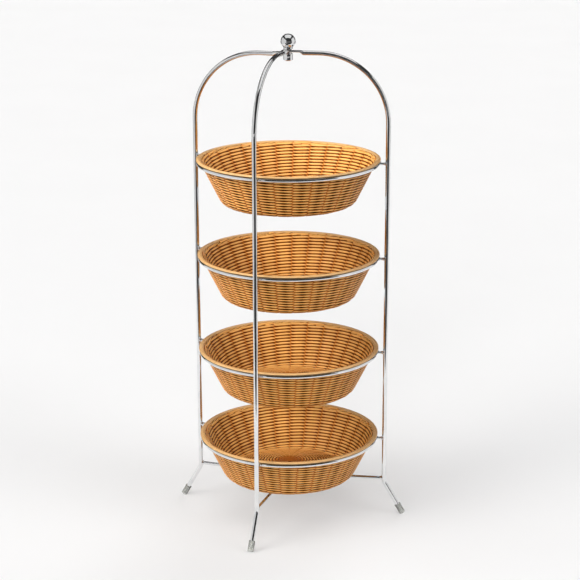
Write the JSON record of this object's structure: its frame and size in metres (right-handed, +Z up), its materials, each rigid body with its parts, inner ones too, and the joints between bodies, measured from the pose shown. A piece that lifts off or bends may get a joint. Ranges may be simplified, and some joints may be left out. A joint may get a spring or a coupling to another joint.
{
  "type": "tiered basket rack",
  "caption": "Free-standing chromed rod rack on splayed feet, carrying round woven baskets one above another in rings, for bread, fruit or small goods.",
  "frame": {"origin": "on the floor under the finial, on the axis that the rings and baskets share", "axes": "+Z up; -Y towards the front leg, +X towards the right leg's side"},
  "size_m": [0.523, 0.4641, 1.0838],
  "materials": {
    "chrome": "polished chromed steel rod",
    "foot_plastic": "grey translucent plastic cap",
    "cane": "golden woven plastic cane",
    "rim_cane": "paler wrapped plastic cane of the border"
  },
  "bodies": {
    "frame": {"front_leg": "chrome", "front_foot_cap": "foot_plastic", "left_leg": "chrome", "left_foot_cap": "foot_plastic", "right_leg": "chrome", "right_foot_cap": "foot_plastic", "top_ring": "chrome", "top_ring_front_stub": "chrome", "top_ring_left_stub": "chrome", "top_ring_right_stub": "chrome", "upper_ring": "chrome", "upper_ring_front_stub": "chrome", "upper_ring_left_stub": "chrome", "upper_ring_right_stub": "chrome", "lower_ring": "chrome", "lower_ring_front_stub": "chrome", "lower_ring_left_stub": "chrome", "lower_ring_right_stub": "chrome", "bottom_ring": "chrome", "bottom_ring_front_stub": "chrome", "bottom_ring_left_stub": "chrome", "bottom_ring_right_stub": "chrome", "side_brace": "chrome", "front_brace": "chrome", "finial_ball": "chrome", "hub_nut": "chrome", "hub_stud": "chrome"},
    "top_basket": {"top_basket_base": "cane", "top_basket_side": "cane", "top_basket_border": "rim_cane"},
    "upper_basket": {"upper_basket_base": "cane", "upper_basket_side": "cane", "upper_basket_border": "rim_cane"},
    "lower_basket": {"lower_basket_base": "cane", "lower_basket_side": "cane", "lower_basket_border": "rim_cane"},
    "bottom_basket": {"bottom_basket_base": "cane", "bottom_basket_side": "cane", "bottom_basket_border": "rim_cane"}
  },
  "joints": [
    {"name": "top_basket_lift", "type": "slide", "parent": "frame", "child": "top_basket", "axis": [0, 0, 1], "range_m": [0, 0.096]},
    {"name": "upper_basket_lift", "type": "slide", "parent": "frame", "child": "upper_basket", "axis": [0, 0, 1], "range_m": [0, 0.096]},
    {"name": "lower_basket_lift", "type": "slide", "parent": "frame", "child": "lower_basket", "axis": [0, 0, 1], "range_m": [0, 0.096]},
    {"name": "bottom_basket_lift", "type": "slide", "parent": "frame", "child": "bottom_basket", "axis": [0, 0, 1], "range_m": [0, 0.096]}
  ]
}
